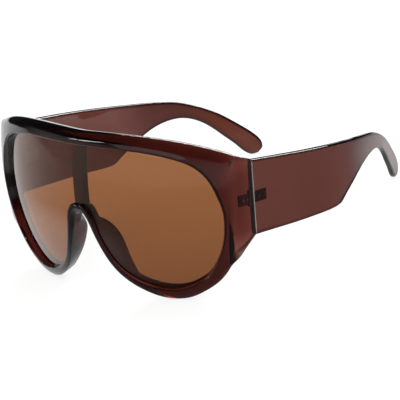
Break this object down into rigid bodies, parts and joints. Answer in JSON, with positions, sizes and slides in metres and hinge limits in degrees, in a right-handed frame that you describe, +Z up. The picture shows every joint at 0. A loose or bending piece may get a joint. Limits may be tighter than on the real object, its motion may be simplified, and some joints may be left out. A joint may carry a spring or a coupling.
{
  "type": "shield sunglasses",
  "caption": "Wrap-around sunglasses with a single shield lens in a moulded brown front and wide folding temples.",
  "frame": {"origin": "centre of the footprint on the floor, with the pair standing open on its two front lobes and two ear tips", "axes": "+Z up, the lens faces -Y, the temples run back towards +Y, the wearer's left is +X"},
  "size_m": [0.1476, 0.1584, 0.0747],
  "materials": {
    "brown_plastic": "polished translucent dark red-brown",
    "brown_lens": "polished brown tint, lighter towards the top right",
    "dark_steel": "dark plated"
  },
  "bodies": {
    "front": {"front_frame": "brown_plastic", "shield_lens": "brown_lens", "left_hinge_front_leaf": "dark_steel", "right_hinge_front_leaf": "dark_steel", "left_hinge_screw": "dark_steel", "right_hinge_screw": "dark_steel"},
    "left_temple_arm": {"left_temple": "brown_plastic", "left_hinge_temple_leaf": "dark_steel"},
    "right_temple_arm": {"right_temple": "brown_plastic", "right_hinge_temple_leaf": "dark_steel"}
  },
  "joints": [
    {"name": "left_temple_fold", "type": "hinge", "parent": "front", "child": "left_temple_arm", "pos_m": [0.06864, -0.04425, 0.04238], "axis": [0, 0.1572, 0.9876], "range_deg": [0, 80]},
    {"name": "right_temple_fold", "type": "hinge", "parent": "front", "child": "right_temple_arm", "pos_m": [-0.06864, -0.04425, 0.04238], "axis": [0, -0.1572, -0.9876], "range_deg": [0, 72]}
  ]
}
